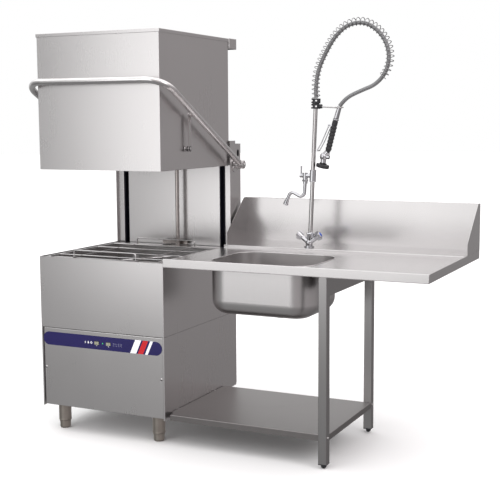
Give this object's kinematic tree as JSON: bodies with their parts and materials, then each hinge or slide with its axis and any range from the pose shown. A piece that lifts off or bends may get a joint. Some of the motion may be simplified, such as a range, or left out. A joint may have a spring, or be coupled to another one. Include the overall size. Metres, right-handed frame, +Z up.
{
  "type": "commercial dishwasher",
  "caption": "Hood-type commercial dishwasher with lift lever, inlet table, sink, mixer tap and sprung pre-rinse spray.",
  "frame": {"origin": "middle of the object's box on the floor, without the spray hose and its spring", "axes": "+X to the user's right along the table, +Y to the back, +Z up"},
  "size_m": [1.9611, 0.9085, 1.9568],
  "materials": {
    "satin_stainless": "satin brushed sheet",
    "inner_stainless": "fine satin",
    "polished_stainless": "polished tube and wire",
    "chrome": "bright plated",
    "spring_steel": "bright drawn wire",
    "black_plastic": "matt moulded",
    "black_rubber": "matt",
    "grey_hose": "braided grey hose",
    "navy_print": "printed film",
    "button_plastic": "pale green-beige",
    "green_lamp": "clear green",
    "motor_alloy": "cast",
    "brass": "machined"
  },
  "bodies": {
    "machine": {"backsplash": "satin_stainless", "balance_springs": "spring_steel", "base_tray": "satin_stainless", "boiler": "inner_stainless", "column_back_panel": "inner_stainless", "column_pipes": "inner_stainless", "column_posts": "inner_stainless", "control_box": "inner_stainless", "control_strip": "navy_print", "foot_pads": "inner_stainless", "foot_sleeves": "inner_stainless", "guide_rails": "black_plastic", "gun_body": "chrome", "gun_grip": "black_rubber", "hose": "grey_hose", "hose_hook": "polished_stainless", "hose_spring": "spring_steel", "indicator_lamp": "green_lamp", "lower_front_panel": "satin_stainless", "lower_side_panels": "satin_stainless", "mixer_body": "chrome", "panel_screws": "polished_stainless", "pivot_bearings": "polished_stainless", "pump_pipes": "inner_stainless", "rack_guide": "polished_stainless", "rear_covers": "satin_stainless", "riser_clamp": "black_plastic", "riser_pipe": "polished_stainless", "service_fittings": "brass", "sink_bowl": "inner_stainless", "sink_waste": "polished_stainless", "spout_valve": "chrome", "spray_head": "black_rubber", "table_feet": "black_plastic", "table_frame": "satin_stainless", "table_shelf": "satin_stainless", "table_top": "satin_stainless", "tank_filters": "inner_stainless", "tank_heater": "polished_stainless", "upper_casing": "satin_stainless", "wash_pump": "motor_alloy", "wash_tank": "inner_stainless"},
    "hood": {"hood_shell": "satin_stainless", "hood_beam": "satin_stainless", "hood_guide_bars": "inner_stainless"},
    "lever": {"lever_handle": "polished_stainless", "lever_hubs": "polished_stainless"},
    "links": {"lever_links": "polished_stainless"},
    "overflow": {"overflow_pipe": "inner_stainless"},
    "lower_wash": {"lower_wash_arm": "inner_stainless"},
    "lower_rinse": {"lower_rinse_arm": "inner_stainless"},
    "upper_wash": {"upper_wash_arm": "inner_stainless"},
    "upper_rinse": {"upper_rinse_arm": "inner_stainless"},
    "start_key": {"start_button": "button_plastic"},
    "programme_key": {"programme_button": "button_plastic"},
    "hot_handle": {"hot_knob": "chrome"},
    "cold_handle": {"cold_knob": "chrome"},
    "valve_lever": {"faucet_lever": "chrome"},
    "spout": {"swivel_spout": "chrome"},
    "trigger": {"gun_trigger": "chrome"}
  },
  "joints": [
    {"name": "hood_slide", "type": "slide", "parent": "machine", "child": "hood", "axis": [0, 0, 1], "range_m": [-0.425, 0], "stiffness_N_per_m": 40, "springref_m": 9.1},
    {"name": "lever_swing", "type": "hinge", "parent": "machine", "child": "lever", "pos_m": [-0.58875, 0.32925, 1.265], "axis": [1, 0, 0], "range_deg": [0, 46.04], "deforming": ["balance_springs"]},
    {"name": "link_swing", "type": "hinge", "parent": "hood", "child": "links", "pos_m": [-0.58875, -0.15775, 1.356], "axis": [1, 0, 0], "range_deg": [0, 10.38]},
    {"name": "overflow_lift", "type": "slide", "parent": "machine", "child": "overflow", "axis": [0, 0, 1], "range_m": [0, 0.02]},
    {"name": "lower_wash_spin", "type": "hinge", "parent": "machine", "child": "lower_wash", "pos_m": [-0.58875, -0.08575, 0.787], "axis": [0, 0, 1], "continuous": true},
    {"name": "lower_rinse_spin", "type": "hinge", "parent": "machine", "child": "lower_rinse", "pos_m": [-0.58875, -0.08575, 0.812], "axis": [0, 0, 1], "continuous": true},
    {"name": "upper_wash_spin", "type": "hinge", "parent": "machine", "child": "upper_wash", "pos_m": [-0.58875, -0.08575, 1.298], "axis": [0, 0, 1], "continuous": true},
    {"name": "upper_rinse_spin", "type": "hinge", "parent": "machine", "child": "upper_rinse", "pos_m": [-0.58875, -0.08575, 1.274], "axis": [0, 0, 1], "continuous": true},
    {"name": "start_press", "type": "slide", "parent": "machine", "child": "start_key", "axis": [0, 1, 0], "range_m": [0, 0.0025], "stiffness_N_per_m": 600, "springref_m": -0.001},
    {"name": "programme_press", "type": "slide", "parent": "machine", "child": "programme_key", "axis": [0, 1, 0], "range_m": [0, 0.0025], "stiffness_N_per_m": 600, "springref_m": -0.001},
    {"name": "hot_turn", "type": "hinge", "parent": "machine", "child": "hot_handle", "pos_m": [0.18925, 0.25925, 0.893], "axis": [-0.8192, 0, 0.5736], "range_deg": [0, 90]},
    {"name": "cold_turn", "type": "hinge", "parent": "machine", "child": "cold_handle", "pos_m": [0.18925, 0.25925, 0.893], "axis": [0.8192, 0, 0.5736], "range_deg": [0, 90]},
    {"name": "valve_turn", "type": "hinge", "parent": "machine", "child": "valve_lever", "pos_m": [0.14725, 0.25925, 1.219], "axis": [1, 0, 0], "range_deg": [0, 90]},
    {"name": "spout_swing", "type": "hinge", "parent": "machine", "child": "spout", "pos_m": [0.16825, 0.25925, 1.185], "axis": [0, 0, 1], "range_deg": [-60, 120]},
    {"name": "trigger_squeeze", "type": "hinge", "parent": "machine", "child": "trigger", "pos_m": [0.29725, 0.25925, 1.461], "axis": [0, 1, 0], "range_deg": [-6, 0], "stiffness_Nm_per_rad": 1.2, "springref_deg": 5.73}
  ],
  "couplings": [
    {"joint": "lever_swing", "follows": "hood_slide", "rad_per_m": -1.8899},
    {"joint": "link_swing", "follows": "hood_slide", "rad_per_m": -0.4254}
  ]
}
